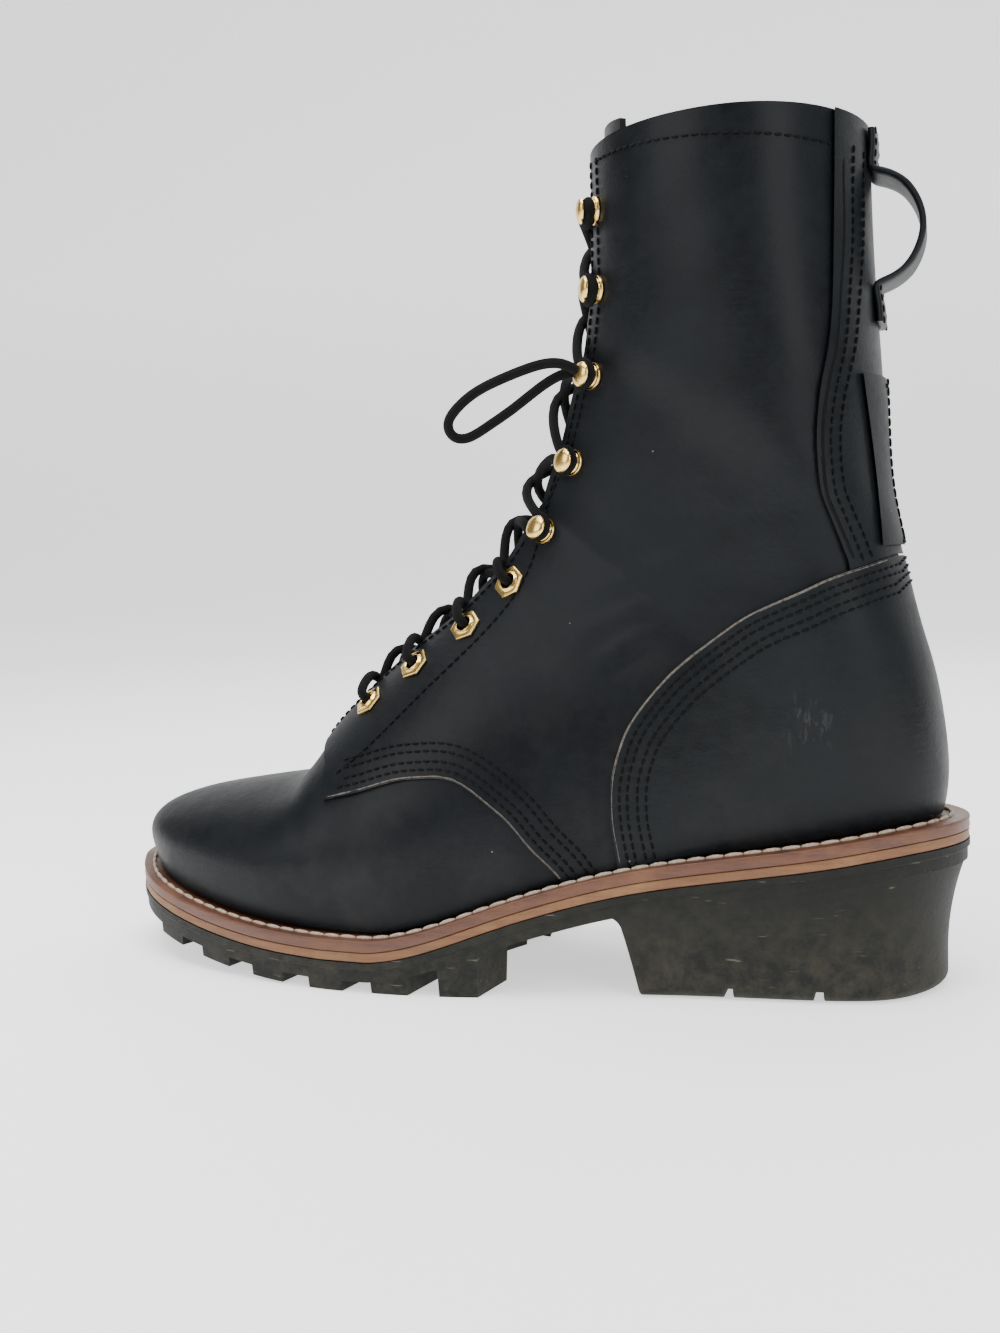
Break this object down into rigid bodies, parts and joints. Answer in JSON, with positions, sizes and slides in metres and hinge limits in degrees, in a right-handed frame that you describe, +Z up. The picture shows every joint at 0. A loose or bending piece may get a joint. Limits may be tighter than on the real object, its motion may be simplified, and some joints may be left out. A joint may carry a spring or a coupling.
{
  "type": "logger boot",
  "caption": "Tall lace-up leather logger boot for the left foot, with a lugged rubber sole, high tapered heel, stitched welt, brass eyelets and hooks, and a pull loop.",
  "frame": {"origin": "centre of the bounding box's bottom, on the plane that heel and forefoot stand on", "axes": "toe towards -X, heel towards +X, lateral (outer) side towards -Y, +Z up"},
  "size_m": [0.3116, 0.1128, 0.2834],
  "materials": {
    "leather": "oiled satin black",
    "welt_leather": "reddish-brown edge, satin",
    "midsole_leather": "tan cut edge, matte",
    "rubber": "matte black with tan dust",
    "insole_board": "matte tan board",
    "brass": "polished, slightly worn",
    "lace": "woven black cord"
  },
  "bodies": {
    "root": {"upper": "leather", "quarter_lateral": "leather", "quarter_medial": "leather", "counter": "leather", "backstay": "leather", "back_strip": "leather", "pull_loop": "leather", "tongue": "leather", "insole": "insole_board", "welt": "welt_leather", "midsole": "midsole_leather", "outsole": "rubber", "eyelet_lateral_1": "brass", "eyelet_lateral_2": "brass", "eyelet_lateral_3": "brass", "eyelet_lateral_4": "brass", "eyelet_medial_1": "brass", "eyelet_medial_2": "brass", "eyelet_medial_3": "brass", "eyelet_medial_4": "brass", "hook_lateral_1": "brass", "hook_lateral_2": "brass", "hook_lateral_3": "brass", "hook_lateral_4": "brass", "hook_lateral_5": "brass", "hook_medial_1": "brass", "hook_medial_2": "brass", "hook_medial_3": "brass", "hook_medial_4": "brass", "hook_medial_5": "brass", "lace_crossings": "lace", "lace_loop": "lace"}
  },
  "joints": []
}
